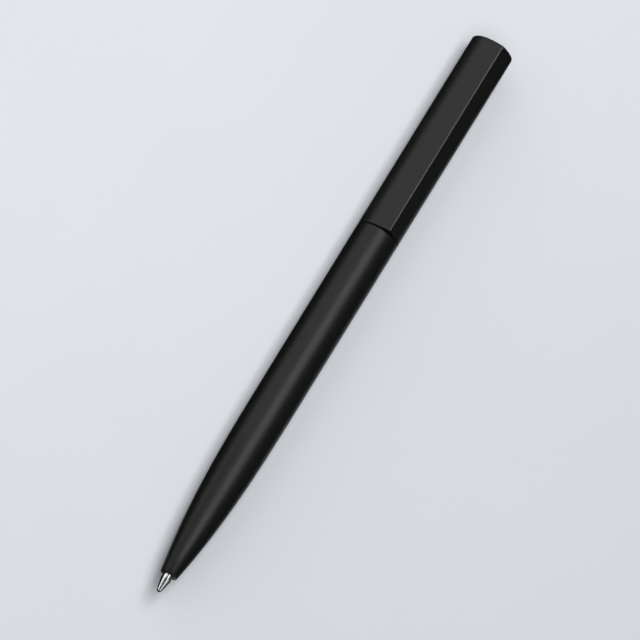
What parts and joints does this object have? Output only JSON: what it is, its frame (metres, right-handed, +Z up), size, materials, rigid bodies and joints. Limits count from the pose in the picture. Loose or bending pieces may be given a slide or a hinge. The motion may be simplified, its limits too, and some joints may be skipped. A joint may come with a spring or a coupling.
{
  "type": "twist-action ballpoint pen",
  "caption": "Slim matte black twist pen with a long ogive nose and a teardrop upper half whose ridge stops it rolling; turning that half draws the metal-pointed refill in.",
  "frame": {"origin": "on the table under the middle of the pen's length, which is the bottom centre of its box", "axes": "+X along the pen towards the writing point, +Z up through the ridge, with the pen lying on its round side"},
  "size_m": [0.1424, 0.0096, 0.0108],
  "materials": {
    "black_barrel": "matte black soft-touch coat",
    "brass": "turned",
    "white_plastic": "moulded, natural",
    "black_rubber": "smooth rubber",
    "spring_steel": "drawn wire",
    "refill_metal": "plain drawn tube",
    "point_metal": "turned nickel silver",
    "ball_carbide": "ground carbide",
    "ink": "black ink",
    "grease": "clear grease"
  },
  "bodies": {
    "barrel": {"lower_barrel": "black_barrel", "barrel_insert": "brass", "mechanism_housing": "brass", "thrust_washer": "white_plastic", "drag_ring": "black_rubber", "retaining_ring": "spring_steel", "return_spring": "spring_steel"},
    "cap": {"upper_shell": "black_barrel", "end_plug": "black_barrel", "cam_sleeve": "brass", "bearing_bush": "white_plastic"},
    "refill": {"refill_tube": "refill_metal", "refill_point": "point_metal", "ink_column": "ink", "ink_follower": "grease", "refill_tail_plug": "white_plastic", "plunger": "white_plastic", "cross_pin": "spring_steel"},
    "ball": {"writing_ball": "ball_carbide"}
  },
  "joints": [
    {"name": "cap_twist", "type": "hinge", "parent": "barrel", "child": "cap", "pos_m": [0, 0, 0.0048], "axis": [-1, 0, 0], "range_deg": [0, 150]},
    {"name": "refill_slide", "type": "slide", "parent": "barrel", "child": "refill", "axis": [-1, 0, 0], "range_m": [0, 0.0055], "deforming": ["return_spring"]},
    {"name": "ball_roll", "type": "hinge", "parent": "refill", "child": "ball", "pos_m": [0.07072, 0, 0.0048], "axis": [0, 1, 0], "continuous": true}
  ],
  "couplings": [
    {"joint": "refill_slide", "follows": "cap_twist", "m_per_rad": 0.0021}
  ]
}
